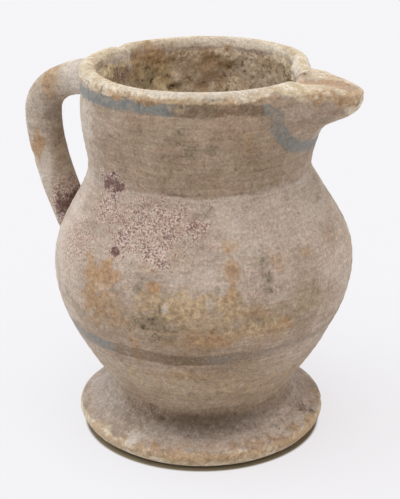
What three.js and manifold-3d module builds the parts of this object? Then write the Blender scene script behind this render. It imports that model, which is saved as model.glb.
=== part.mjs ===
// A terracotta pitcher: a thrown foot, belly and neck, a pinched beak for a spout and one pulled
// handle opposite it. Each piece was shaped by itself and luted to the next before firing.
// Lengths are in millimetres. +Z is up, the spout points along +X and the handle lies along -X.
// The origin is the centre of the flat base.

import * as THREE from 'three';
import { mergeVertices } from 'three/addons/utils/BufferGeometryUtils.js';
import Module from 'manifold-3d';

const wasm = await Module();
wasm.setup();

// Foot: a solid flared disc, cut flat underneath
const BASE_RADIUS = 63;
const FOOT_RADIUS = 70.2;
const FOOT_EDGE_HEIGHT = 11.8;
const FOOT_EDGE_EASE = 1.2;
const FOOT_HEIGHT = 26.9;
const WAIST_RADIUS = 50.8;

// Belly: a round thrown bowl that closes in again to the neck
const BELLY_RADIUS = 83.2;
const BELLY_RISE = 73.3;
const SHOULDER_RISE = 54.7;
const CREASE_RADIUS = 59.8;
const BELLY_WALL = 7;
const FLOOR_THICKNESS = 9;

// Neck and rim: an upright collar that swells a little and turns in to a rolled lip
const NECK_HEIGHT = 54.7;
const NECK_STEP = 0.6;
const NECK_WALL = 7;
const LIP_RADIUS = 58.3;
const LIP_THICKNESS = 9.1;
const HANDLE_PULL = 4;
const SPOUT_PINCH = 3.4;

// Lap joints: a boss under the belly sits in the foot, a collar on the belly sits in the neck
const SOCKET_RADIUS = 32;
const SOCKET_DEPTH = 5;
const COLLAR_HEIGHT = 6;
const COLLAR_WALL = 3.4;
const CLEARANCE = 0.3;

// Handle: a strap with soft corners, bent from just under the lip down to the belly
const HANDLE_THICKNESS = 18.4;
const HANDLE_WIDTH = 20;
const HANDLE_GAP = 28.2;
const HANDLE_TOP_DROP = 15.7;
const HANDLE_BEND_DROP = 24.6;
const HANDLE_CROWN_REACH = 0.7;
const HANDLE_CROWN_RISE = 0.57;
const HANDLE_LANDING_DROP = 54.9;
const HANDLE_TOP_FLARE = 0.25;
const HANDLE_LANDING_FLARE = 0.4;
const HANDLE_LANDING_TAPER = 0.35;

// Spout: a solid beak with a shallow trough along its top
const SPOUT_LENGTH = 30;
const SPOUT_ROOT_WIDTH = 42;
const SPOUT_ROOT_DEPTH = 28;
const SPOUT_TIP_WIDTH = 17;
const SPOUT_TIP_DEPTH = 13;
const SPOUT_TIP_ROUNDING = 8.9;
const SPOUT_TAPER = 1.2;
const SPOUT_EDGE = 3.6;
const SPOUT_DROP = 1;
const TROUGH_WIDTH = 19;
const TROUGH_DEPTH = 2.6;

// How finely the curves are divided
const TURN_STEPS = 48;
const CURVE_STEPS = 7;
const FLOOR_STEPS = 3;
const FOOT_STEPS = 6;
const LIP_STEPS = 6;
const HANDLE_STEPS = 30;
const HANDLE_SIDES = 16;
const SPOUT_STEPS = 14;
const SPOUT_SIDES = 24;
const TROUGH_STEPS = 6;

// Levels and reaches that follow from the sizes above
const beltLevel = FOOT_HEIGHT + BELLY_RISE;
const creaseLevel = beltLevel + SHOULDER_RISE;
const collarTop = creaseLevel + COLLAR_HEIGHT;
const rimLevel = creaseLevel + NECK_HEIGHT;
const lipHalf = LIP_THICKNESS / 2;
const lipLevel = rimLevel - lipHalf;
const spoutReach = LIP_RADIUS + lipHalf + SPOUT_LENGTH;
const spoutTop = rimLevel - SPOUT_DROP;

const { lerp, clamp, smoothstep, mapLinear, degToRad } = THREE.MathUtils;
const point = (r, z) => new THREE.Vector2(r, z);
const bell = (distance, width) => Math.exp(-((distance / width) ** 2));

// A curve that leaves one point and arrives at another at given angles from the horizontal.
// A pull is how far it follows that angle, as a share of the distance between the points.
function bend(start, startAngle, startPull, end, endAngle, endPull) {
  const span = start.distanceTo(end);
  const heading = (angle) => point(Math.cos(degToRad(angle)), Math.sin(degToRad(angle)));
  const leave = heading(startAngle).multiplyScalar(startPull * span);
  const arrive = heading(endAngle).multiplyScalar(endPull * span);
  return new THREE.CubicBezierCurve(start, start.clone().add(leave), end.clone().sub(arrive), end);
}

// Points beside a wall that is drawn upwards: a positive distance lies outside it
function beside(curve, distance, steps, from = 0, to = 1) {
  const points = [];
  for (let i = 0; i <= steps; i += 1) {
    const t = lerp(from, to, i / steps);
    const tangent = curve.getTangent(t);
    points.push(curve.getPoint(t).add(point(tangent.y, -tangent.x).multiplyScalar(distance)));
  }
  return points;
}

// Radius of an outline at a height
function radiusAt(outline, z) {
  const above = outline.findIndex((p) => p.y >= z);
  const high = outline[above];
  const low = outline[above - 1];
  return mapLinear(z, low.y, high.y, low.x, high.x);
}

// Positions only, with shared corners joined and triangles of no area left out
function welded(geometry) {
  const bare = geometry.clone();
  bare.deleteAttribute('normal');
  bare.deleteAttribute('uv');
  const joined = mergeVertices(bare, 1e-4);
  const corners = joined.index.array;
  const kept = [];
  for (let i = 0; i < corners.length; i += 3) {
    const [a, b, c] = corners.slice(i, i + 3);
    if (a !== b && b !== c && c !== a) kept.push(a, b, c);
  }
  joined.setIndex(kept);
  return joined;
}

function toSolid(geometry) {
  const mesh = welded(geometry);
  const vertProperties = new Float32Array(mesh.attributes.position.array);
  const triVerts = new Uint32Array(mesh.index.array);
  return new wasm.Manifold(new wasm.Mesh({ numProp: 3, vertProperties, triVerts }));
}

function toGeometry(solid) {
  const { vertProperties, triVerts } = solid.getMesh();
  const geometry = new THREE.BufferGeometry();
  geometry.setAttribute('position', new THREE.BufferAttribute(new Float32Array(vertProperties), 3));
  geometry.setIndex(new THREE.BufferAttribute(new Uint32Array(triVerts), 1));
  geometry.computeVertexNormals();
  return geometry;
}

// A profile of (radius, height) points turned about the vertical axis
function turned(profile) {
  return new THREE.LatheGeometry(profile, TURN_STEPS).rotateX(Math.PI / 2);
}

// A closed skin over rings of equal size, with a fan over each end ring
function lofted(rings) {
  const sides = rings[0].length;
  const places = rings.flat();
  const faces = [];
  for (let i = 0; i + 1 < rings.length; i += 1) {
    for (let j = 0; j < sides; j += 1) {
      const near = i * sides + j;
      const next = i * sides + ((j + 1) % sides);
      faces.push(near, next, next + sides, near, next + sides, near + sides);
    }
  }
  const middle = (ring) => ring.reduce((sum, p) => sum.add(p), new THREE.Vector3()).divideScalar(sides);
  const firstHub = places.length;
  const lastHub = firstHub + 1;
  const lastRing = firstHub - sides;
  places.push(middle(rings[0]), middle(rings.at(-1)));
  for (let j = 0; j < sides; j += 1) {
    const next = (j + 1) % sides;
    faces.push(firstHub, next, j);
    faces.push(lastHub, lastRing + j, lastRing + next);
  }
  const geometry = new THREE.BufferGeometry().setFromPoints(places);
  geometry.setIndex(faces);
  return geometry;
}

// Points round a unit section: power 1 is a circle, and a lower power squares its corners
function softSection(sides, power) {
  const bulge = (value) => Math.sign(value) * Math.abs(value) ** power;
  const section = [];
  for (let j = 0; j < sides; j += 1) {
    const angle = (2 * Math.PI * j) / sides;
    section.push([bulge(Math.cos(angle)), bulge(Math.sin(angle))]);
  }
  return section;
}

// Outside of the belly, drawn upwards from the waist over the belt to the crease
const bellyBelt = point(BELLY_RADIUS, beltLevel);
const bellyLow = bend(point(WAIST_RADIUS, FOOT_HEIGHT), 55.4, 0.483, bellyBelt, 90, 0.257);
const bellyHigh = bend(bellyBelt, 90, 0.375, point(CREASE_RADIUS, creaseLevel), 107.6, 0.33);

function bellyOutline(grow) {
  const high = beside(bellyHigh, grow, CURVE_STEPS);
  return [...beside(bellyLow, grow, CURVE_STEPS), ...high.slice(1)];
}

// A point on the round lip: 0 degrees is its outside, 90 its top and 180 its inside
function lipPoint(grow, angle) {
  const reach = lipHalf + grow;
  const a = degToRad(angle);
  return point(LIP_RADIUS + reach * Math.cos(a), lipLevel + reach * Math.sin(a));
}

// Outside of the neck, drawn upwards from the crease into the lip without an edge
const lipLean = 17;
const neckStart = point(CREASE_RADIUS + NECK_STEP, creaseLevel);
const neckSide = bend(neckStart, 81, 0.29, lipPoint(0, lipLean), 90 + lipLean, 0.43);
const neckRadius = Math.max(...beside(neckSide, 0, CURVE_STEPS).map((p) => p.x));

function neckOutline(grow, lipEnd) {
  const outline = beside(neckSide, grow, CURVE_STEPS);
  for (let i = 1; i <= LIP_STEPS; i += 1) {
    outline.push(lipPoint(grow, lerp(lipLean, lipEnd, i / LIP_STEPS)));
  }
  return outline;
}

// The rim isn't round: it is drawn out towards the handle and nipped in on both sides of the spout
function squeezeRim(geometry) {
  const places = geometry.attributes.position;
  for (let i = 0; i < places.count; i += 1) {
    const x = places.getX(i);
    const y = places.getY(i);
    const angle = Math.abs(Math.atan2(y, x));
    const pull = HANDLE_PULL * bell(Math.PI - angle, degToRad(45));
    const pinch = SPOUT_PINCH * bell(angle - degToRad(38), degToRad(16));
    const share = smoothstep(places.getZ(i), collarTop + CLEARANCE, rimLevel);
    const scale = 1 + (share * (pull - pinch)) / Math.max(Math.hypot(x, y), 1);
    places.setXY(i, x * scale, y * scale);
  }
  return geometry;
}

// The foot: flat underneath, a rounded edge, a hollow flare, and a socket in its top
function makeFoot() {
  const brow = point(FOOT_RADIUS - FOOT_EDGE_EASE, FOOT_EDGE_HEIGHT);
  const edge = bend(point(BASE_RADIUS, 0), 14, 0.31, brow, 129.5, 0.415);
  const flare = bend(brow, 164.5, 0.4, point(WAIST_RADIUS, FOOT_HEIGHT), 112, 0.344);
  const socketFloor = FOOT_HEIGHT - SOCKET_DEPTH;
  return turned([
    point(0, 0),
    ...edge.getPoints(FOOT_STEPS),
    ...flare.getPoints(FOOT_STEPS).slice(1),
    point(SOCKET_RADIUS, FOOT_HEIGHT),
    point(SOCKET_RADIUS, socketFloor),
    point(0, socketFloor),
  ]);
}

// The belly: a hollow bowl with a boss below for the foot and a collar above for the neck
function makeBelly() {
  const bossRadius = SOCKET_RADIUS - CLEARANCE;
  const bossBottom = FOOT_HEIGHT - SOCKET_DEPTH;
  const floorLevel = bossBottom + FLOOR_THICKNESS;
  const collarInside = CREASE_RADIUS - BELLY_WALL;
  const collarOutside = collarInside + COLLAR_WALL;
  const low = beside(bellyLow, -BELLY_WALL, CURVE_STEPS, 0.08, 1);
  const high = beside(bellyHigh, -BELLY_WALL, CURVE_STEPS, 0, 0.97);
  const floorEdge = bend(point(low[0].x * 0.7, floorLevel), 0, 0.5, low[0], 55, 0.4);
  return turned([
    point(0, bossBottom),
    point(bossRadius, bossBottom),
    point(bossRadius, FOOT_HEIGHT),
    ...bellyOutline(0),
    point(collarOutside, creaseLevel),
    point(collarOutside, collarTop),
    point(collarInside, collarTop),
    ...high.slice(1).reverse(),
    ...low.reverse(),
    ...floorEdge.getPoints(FLOOR_STEPS).slice(0, -1).reverse(),
    point(0, floorLevel),
  ]);
}

// The neck: a rebate at its base takes the belly's collar, and the trough is cut through its lip
function makeNeck(trough) {
  const base = CREASE_RADIUS - BELLY_WALL;
  const rebate = base + COLLAR_WALL + CLEARANCE;
  const rebateTop = collarTop + CLEARANCE;
  const inside = beside(neckSide, -NECK_WALL, CURVE_STEPS, 0.16, 0.86);
  const wall = turned([
    point(rebate, creaseLevel),
    ...neckOutline(0, 205),
    ...inside.reverse(),
    point(base, rebateTop),
    point(rebate, rebateTop),
    point(rebate, creaseLevel),
  ]);
  return toGeometry(toSolid(squeezeRim(wall)).subtract(trough));
}

// The neck and the belly as filled solids, which cut what is luted to their outsides to fit
function neckBlank() {
  const outline = neckOutline(CLEARANCE, 90);
  return toSolid(squeezeRim(turned([point(0, outline[0].y), ...outline, point(0, outline.at(-1).y)])));
}

function bellyBlank() {
  const outline = bellyOutline(CLEARANCE);
  return toSolid(turned([point(0, outline[0].y), ...outline, point(0, outline.at(-1).y)]));
}

// The handle's centre line: straight out from the neck, round and down, and in to the belly
function handleLine() {
  const at = (r, z) => new THREE.Vector3(-r, 0, z);
  const top = rimLevel - HANDLE_TOP_DROP;
  const turn = top - HANDLE_BEND_DROP;
  const landing = creaseLevel - HANDLE_LANDING_DROP;
  const reach = neckRadius + HANDLE_GAP + HANDLE_THICKNESS / 2;
  const seat = radiusAt(bellyOutline(0), landing);
  const line = new THREE.CurvePath();
  line.add(new THREE.CubicBezierCurve3(
    at(neckRadius - NECK_WALL / 2, top),
    at(neckRadius + HANDLE_GAP * HANDLE_CROWN_REACH, top),
    at(reach, lerp(turn, top, HANDLE_CROWN_RISE)),
    at(reach, turn),
  ));
  line.add(new THREE.CubicBezierCurve3(
    at(reach, turn),
    at(reach, lerp(turn, landing, 0.33)),
    at(seat + BELLY_WALL, lerp(turn, landing, 0.73)),
    at(seat - BELLY_WALL / 2, landing),
  ));
  return line;
}

// The handle: it flares where it leaves the neck, and is pressed wide and thin on the belly
function makeHandle(neck, belly) {
  const line = handleLine();
  const section = softSection(HANDLE_SIDES, 0.78);
  const rings = [];
  for (let i = 0; i <= HANDLE_STEPS; i += 1) {
    const t = i / HANDLE_STEPS;
    const centre = line.getPointAt(t);
    const along = line.getTangentAt(t);
    const outward = new THREE.Vector3(along.z, 0, -along.x);
    const topFlare = HANDLE_TOP_FLARE * bell(t, 0.1);
    const landed = bell(1 - t, 0.16);
    const thick = HANDLE_THICKNESS * (1 + topFlare - HANDLE_LANDING_TAPER * landed);
    const wide = HANDLE_WIDTH * (1 + topFlare + HANDLE_LANDING_FLARE * landed);
    rings.push(section.map(([across, aside]) => centre.clone()
      .addScaledVector(outward, (thick / 2) * across)
      .add(new THREE.Vector3(0, (wide / 2) * aside, 0))));
  }
  return toGeometry(toSolid(lofted(rings)).subtract(neck).subtract(belly));
}

// The spout: its root flares out over the neck, and it narrows to a blunt round tip.
// Each cross section is flat above with rounded edges, and deep and round below.
function makeSpout(neck, trough) {
  const root = LIP_RADIUS - lipHalf;
  const section = softSection(SPOUT_SIDES, 0.85);
  const rings = [];
  for (let i = 0; i <= SPOUT_STEPS; i += 1) {
    const x = lerp(root, spoutReach, (i / SPOUT_STEPS) ** 0.8);
    const s = (x - neckRadius) / (spoutReach - neckRadius);
    const flare = s > 0 ? (1 - s) ** SPOUT_TAPER : 1 - SPOUT_TAPER * s;
    const rounding = clamp(1 - (spoutReach - x) / SPOUT_TIP_ROUNDING, 0, 0.997);
    const blunt = Math.sqrt(1 - rounding ** 2);
    const width = lerp(SPOUT_TIP_WIDTH, SPOUT_ROOT_WIDTH, flare) * blunt;
    const fullDepth = lerp(SPOUT_TIP_DEPTH, SPOUT_ROOT_DEPTH, flare);
    const depth = fullDepth * blunt;
    const edge = Math.min(SPOUT_EDGE, depth / 3);
    const widest = spoutTop - (fullDepth - depth) / 2 - edge;
    rings.push(section.map(([side, rise]) => new THREE.Vector3(
      x,
      (width / 2) * side,
      widest + rise * (rise > 0 ? edge : depth - edge),
    )));
  }
  return toGeometry(toSolid(lofted(rings)).subtract(neck).subtract(trough));
}

// What is gouged out for the trough, from inside the mouth to where it fades out near the tip.
// The gouge's middle lies a little above the beak, so that the trough has soft edges.
function makeTrough() {
  const start = LIP_RADIUS - LIP_THICKNESS;
  const end = spoutReach - SPOUT_TIP_ROUNDING / 2;
  const above = TROUGH_DEPTH * 0.8;
  const section = softSection(SPOUT_SIDES, 1);
  const rings = [];
  for (let i = 0; i <= TROUGH_STEPS; i += 1) {
    const s = i / TROUGH_STEPS;
    const narrow = lerp(1, 0.4, s);
    rings.push(section.map(([side, rise]) => new THREE.Vector3(
      lerp(start, end, s),
      (TROUGH_WIDTH / 2) * narrow * side,
      spoutTop + above + (above + TROUGH_DEPTH * narrow) * rise,
    )));
  }
  return toSolid(lofted(rings));
}

const group = new THREE.Group();

function addPiece(name, geometry, color, roughness) {
  const material = new THREE.MeshStandardMaterial({ color, roughness, metalness: 0 });
  const mesh = new THREE.Mesh(geometry, material);
  mesh.name = name;
  group.add(mesh);
}

const trough = makeTrough();
const neckFit = neckBlank();
const bellyFit = bellyBlank();

addPiece('foot', makeFoot(), '#b39c86', 0.95);
addPiece('belly', makeBelly(), '#a8998e', 0.93);
addPiece('neck', makeNeck(trough), '#a89a8f', 0.93);
addPiece('spout', makeSpout(neckFit, trough), '#a99482', 0.95);
addPiece('handle', makeHandle(neckFit, bellyFit), '#a3968c', 0.94);

export default group;
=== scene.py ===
"""A weathered terracotta pitcher with a pinched beak, a strap handle and worn painted bands.
Shapes are worked out in millimetres about the pot's axis: +Z is up, the beak points along +X,
and angles are counted in degrees from +X towards +Y."""

import math

import bpy
import numpy as np
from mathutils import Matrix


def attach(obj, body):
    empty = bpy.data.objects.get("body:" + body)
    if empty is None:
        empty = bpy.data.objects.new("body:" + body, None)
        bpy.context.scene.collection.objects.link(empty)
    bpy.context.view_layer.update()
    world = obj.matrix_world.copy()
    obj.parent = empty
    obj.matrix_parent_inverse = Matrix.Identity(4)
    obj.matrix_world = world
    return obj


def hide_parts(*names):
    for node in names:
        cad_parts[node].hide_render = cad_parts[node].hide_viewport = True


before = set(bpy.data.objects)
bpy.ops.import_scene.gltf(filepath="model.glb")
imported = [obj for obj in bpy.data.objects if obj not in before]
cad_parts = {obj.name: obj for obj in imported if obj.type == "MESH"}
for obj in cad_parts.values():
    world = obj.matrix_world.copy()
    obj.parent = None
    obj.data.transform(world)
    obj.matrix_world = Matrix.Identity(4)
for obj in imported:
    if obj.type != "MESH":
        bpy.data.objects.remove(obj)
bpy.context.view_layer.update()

# The foot
# A thick flared disc of red clay, thrown by itself, cut from the wheel with a wire and luted
# under the belly. Its lower edge is worn to bare tan clay, and dirt and painted shade lie in the
# fold above it.
BASE_RADIUS = 62.8
FOOT_RADIUS = 70.0
FOOT_EDGE_HEIGHT = 11.8
FOOT_EDGE_EASE = 1.2
FOOT_HEIGHT = 26.9
WAIST_RADIUS = 50.6
FOLD_FILLET = 5.0
SMEAR_TOP = 32.0
LAP_SINK = 0.5
ROUND_STEPS = 420
SLIP_COLORS = ("#c0ae9f", "#ab9784", "#b69f90")

# stains, with the size of the ragged detail of their edges, and marks that follow the shape; a
# stain's row is the angle and height of its middle, half its width and height, and its strength
STAIN_GRAINS = {"ochre": 9, "cream": 8, "umber": 5, "grey": 6, "pale_and_painted_light": 7}
# two of the marks that follow the shape darken with painted shade as well as soil and dirt: in the fold
# and the crease, on the handle's inner side and over the neck's front
SHAPE_MARKS = ("band", "rust", "tan", "crust", "dirt", "worn")
FOOT_STAINS = {
    # the thin pale line at -60 along the top of the foot's edge is a painted highlight, and the broad
    # patch at -150 on the left is painted light over paler slip
    "pale_and_painted_light": [
        (-97, 12.5, 6, 3.6, 1.0), (-150, 17, 40, 7, 0.55), (-60, 13.5, 26, 2.2, 0.5),
        (-118, 14, 14, 4, 0.4),
    ],
    "grey": [
        (6.5, 14.5, 6, 2.2, 1.0), (-94, 26, 3, 3, 0.8), (-86, 21.5, 1.6, 1.2, 0.9), (110, 15, 9, 3, 0.8),
    ],
    "umber": [(-100, 23, 14, 5, 0.3), (6, 15, 6, 2.6, 0.4), (70, 18, 12, 4, 0.4)],
    "ochre": [
        (-60, 8, 60, 5, 0.8), (-5, 8, 44, 6, 0.8), (-116, 7, 36, 5, 0.7), (-60, 13, 60, 1.6, 0.5),
        (140, 12, 20, 5, 0.6),
    ],
}


def bend(start, start_angle, start_pull, end, end_angle, end_pull, steps):
    """Points of a cubic curve in the (radius, height) plane. It leaves and arrives at the given
    angles from the horizontal, and follows each for a pull, a share of the distance between."""
    start = np.array(start, float)
    end = np.array(end, float)
    span = np.linalg.norm(end - start)
    leave = np.radians(start_angle)
    arrive = np.radians(end_angle)
    first = start + start_pull * span * points(np.cos(leave), np.sin(leave))
    last = end - end_pull * span * points(np.cos(arrive), np.sin(arrive))
    return cubic(start, first, last, end, np.linspace(0, 1, steps + 1)[:, None])


def cubic(a, b, c, d, t):
    """Points at shares t of the cubic curve with four control points."""
    a, b, c, d = (np.array(point, float) for point in (a, b, c, d))
    return (1 - t) ** 3 * a + 3 * (1 - t) ** 2 * t * b + 3 * (1 - t) * t ** 2 * c + t ** 3 * d


def points(*parts):
    """Places put together from their coordinates, some of which may be single numbers."""
    return np.stack(np.broadcast_arrays(*parts), axis=-1)


def radius_at(z, line):
    """Radius at a height of a line, given in rows of (radius, height) from the bottom up."""
    return np.interp(z, line[:, 1], line[:, 0])


def ease(low, high, value):
    """0 below low, 1 above high, and a smooth S between them."""
    t = np.clip((value - low) / (high - low), 0, 1)
    return t * t * (3 - 2 * t)


def fade(low, high, value):
    """1 below low, 0 above high, and a smooth S between them."""
    return 1 - ease(low, high, value)


def bell(distance, width):
    """1 at no distance, falling off as a bell of that width."""
    return np.exp(-((distance / width) ** 2))


def around(angle, centre):
    """Degrees from a centre angle, between -180 and 180."""
    return (angle - centre + 180) % 360 - 180


def merged(a, b, fillet):
    """The larger of two values, with a fillet of that length where they cross."""
    near = np.clip(1 - np.abs(a - b) / fillet, 0, 1)
    return np.maximum(a, b) + near ** 2 * fillet / 4


def lumps(places, size, seed):
    """A smooth random field, mostly between -1 and 1: the sum of 24 plane sine waves of random
    heading and phase, whose lengths lie round the given size in millimetres."""
    rng = np.random.default_rng(seed)
    heading = rng.normal(size=(24, 3))
    heading /= np.linalg.norm(heading, axis=1)[:, None]
    number = 2 * np.pi / (size * rng.uniform(0.7, 1.6, 24))
    phase = rng.uniform(0, 2 * np.pi, 24)
    return np.sin(places @ (heading * number[:, None]).T + phase).sum(axis=-1) / 4.9


def polar(places):
    """Radius, angle in degrees and height of places."""
    radius = np.hypot(places[..., 0], places[..., 1])
    angle = np.degrees(np.arctan2(places[..., 1], places[..., 0]))
    return radius, angle, places[..., 2]


def pushed(places, distance):
    """Places moved out from the axis by a distance."""
    radius = np.maximum(np.hypot(places[..., 0], places[..., 1]), 1e-6)
    scale = np.maximum(radius + distance, 0) / radius
    return places * points(scale, scale, 1)


def handmade(places):
    """How far a thrower's hands left the wall from true, in millimetres: slow lumps, finger rings
    5 mm apart that wander, fine grit, a belly flatter on one side and fuller on the other, and a
    foot and a neck's root that are fuller behind."""
    _, angle, z = polar(places)
    slow = 0.22 * lumps(places, 80, 3) + 0.13 * lumps(places, 24, 4) + 0.06 * lumps(places, 8, 5)
    rings = 0.08 * np.sin(2 * np.pi * (z / 5.2 + angle / 360) + 0.7 * lumps(places, 50, 6))
    grit = 0.04 * lumps(places, 3.4, 11) + 0.03 * lumps(places, 2.2, 12)
    flat = 1.1 * bell(around(angle, -152), 42) * bell(z - 112, 34)
    full = 1.4 * bell(around(angle, 28), 30) * bell(z - 102, 36)
    full = full + 1.0 * bell(around(angle, -165), 34) * bell(z - 12, 12)
    full = full + 1.5 * bell(around(angle, -152), 50) * bell(z - CREASE_HEIGHT, 17)
    full = full - 1.5 * bell(around(angle, 28), 34) * bell(z - CREASE_HEIGHT, 6)
    return np.minimum(slow + rings + grit - 0.4, 0) - flat + full


def crusty(places):
    """How far a rough lime and soil crust stands off the clay, in millimetres."""
    return 0.42 * lumps(places, 7.5, 13) + 0.34 * lumps(places, 3.4, 14)


def turned(outline):
    """A grid of places: the outline, in rows of (radius, height), turned about the axis."""
    turn = np.linspace(-np.pi, np.pi, ROUND_STEPS, endpoint=False)
    radius = outline[:, :1]
    return points(radius * np.cos(turn), radius * np.sin(turn), outline[:, 1:])


def placed(name, data):
    """A new object of a mesh, a light or a camera, linked into the scene."""
    thing = bpy.data.objects.new(name, data)
    bpy.context.scene.collection.objects.link(thing)
    return thing


def skin(name, places, marks, material, ring=False):
    """A mesh over a grid of places in millimetres. The columns close round on themselves. The
    rows do too if ring is true, and otherwise each end has a fan to its middle. marks are named
    shares, one for each place, that the material reads."""
    rows, columns = places.shape[:2]
    index = np.arange(rows * columns).reshape(rows, columns)
    upper = np.roll(index, -1, axis=0) if ring else index[1:]
    lower = index if ring else index[:-1]
    quads = points(lower, np.roll(lower, -1, 1), np.roll(upper, -1, 1), upper)
    faces = quads.reshape(-1, 4).tolist()
    corners = places.reshape(-1, 3)
    values = {mark: share.reshape(-1) for mark, share in marks.items()}
    if not ring:
        first = index[0]
        last = index[-1]
        hub = rows * columns
        corners = np.concatenate([corners, [places[0].mean(axis=0), places[-1].mean(axis=0)]])
        for mark, share in values.items():
            values[mark] = np.concatenate([share, [share[first].mean(), share[last].mean()]])
        faces += points(hub, np.roll(first, -1), first).tolist()
        faces += points(hub + 1, last, np.roll(last, -1)).tolist()
    mesh = bpy.data.meshes.new(name)
    mesh.from_pydata((corners * 0.001).tolist(), [], faces)
    mesh.polygons.foreach_set("use_smooth", np.ones(len(mesh.polygons), bool))
    for mark, share in values.items():
        attribute = mesh.attributes.new(mark, "FLOAT", "POINT")
        attribute.data.foreach_set("value", share.astype(np.float32))
    mesh.update()
    mesh.materials.append(material)
    return placed(name, mesh)


def stained(places, spots, grain, seed):
    """The strongest of several soft stains with ragged edges. The ragged detail is of two sizes,
    the grain and a third of it, in millimetres."""
    radius, angle, z = polar(places)
    ragged = 0.3 * lumps(places, grain, seed) + 0.22 * lumps(places, grain / 3, seed + 1)
    share = np.zeros_like(z)
    for middle, height, wide, tall, strength in spots:
        aside = np.radians(around(angle, middle)) * radius
        distance = np.hypot(aside / wide, (z - height) / tall) + ragged
        share = np.maximum(share, strength * fade(0.35, 1.45, distance))
    return share


def weather(places, stains, **given):
    """The marks that the material reads: stains at places on the pot, and given ones that follow
    the shape of the piece. A mark that isn't given is 0."""
    marks = {}
    for number, (mark, grain) in enumerate(STAIN_GRAINS.items()):
        marks[mark] = stained(places, stains.get(mark, []), grain, 40 + 2 * number)
    for mark in SHAPE_MARKS:
        marks[mark] = np.clip(given.get(mark, 0) * np.ones(places.shape[:-1]), 0, 1)
    return marks


def linear(code):
    """A colour written as sRGB hex, turned to the linear values that nodes use."""
    parts = [int(code[i:i + 2], 16) / 255 for i in (1, 3, 5)]
    return [p / 12.92 if p <= 0.04045 else ((p + 0.055) / 1.055) ** 2.4 for p in parts] + [1]


def add(tree, kind, inputs=None, **settings):
    """A new shader node with its settings, its inputs set to values or linked to other nodes."""
    node = tree.nodes.new("ShaderNode" + kind)
    for name, value in settings.items():
        setattr(node, name, value)
    for name, value in (inputs or {}).items():
        if isinstance(value, bpy.types.NodeSocket):
            tree.links.new(value, node.inputs[name])
        else:
            node.inputs[name].default_value = value
    return node


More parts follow.
